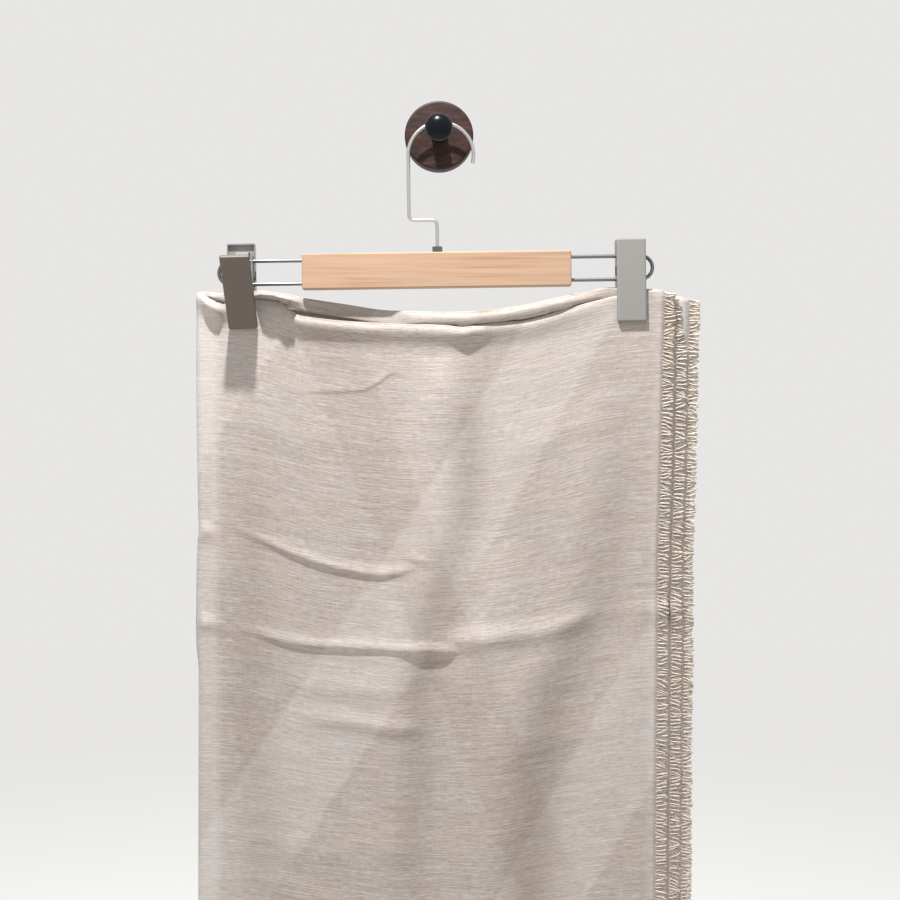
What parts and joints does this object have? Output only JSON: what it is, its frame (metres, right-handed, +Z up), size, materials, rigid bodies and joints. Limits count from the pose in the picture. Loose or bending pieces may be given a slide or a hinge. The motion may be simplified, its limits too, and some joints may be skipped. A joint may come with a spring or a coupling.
{
  "type": "scarf on a clip hanger and wall peg",
  "caption": "Fringed scarf of sheer plain-weave cloth, folded twice and held by two spring clips on a wooden hanger bar, hung by a wire hook on a round wall peg.",
  "frame": {"origin": "centre of the wall peg's back face, on the wall plane", "axes": "+Z up, +Y into the wall, +X to the right of someone who faces the wall; the scarf hangs at negative Y"},
  "size_m": [0.384, 0.0679, 1.0689],
  "materials": {
    "cloth": "sheer slubbed plain weave, matt",
    "fringe": "loose frayed yarn ends, matt",
    "maple": "satin varnished pale wood",
    "walnut": "oiled dark wood",
    "black_lacquer": "gloss",
    "wire": "plated wire",
    "nut": "plated",
    "plate": "satin plated sheet",
    "spring": "bright strip"
  },
  "bodies": {
    "root": {"front_ply": "cloth", "rear_ply": "cloth", "inner_plies": "cloth", "fringe_side_front": "fringe", "fringe_side_front_inner": "fringe", "fringe_side_rear_inner": "fringe", "fringe_side_rear": "fringe", "fringe_hem_front": "fringe", "fringe_hem_front_inner": "fringe", "fringe_hem_rear_inner": "fringe", "fringe_hem_rear": "fringe", "hanger_bar": "maple", "hanger_rails": "wire", "hanger_hook": "wire", "hook_nut": "nut", "clip_left_front_plate": "plate", "clip_left_rear_plate": "plate", "clip_left_saddle": "plate", "clip_left_spring": "spring", "clip_right_front_plate": "plate", "clip_right_rear_plate": "plate", "clip_right_saddle": "plate", "clip_right_spring": "spring", "peg_disc": "walnut", "peg_pin": "black_lacquer"}
  },
  "joints": []
}
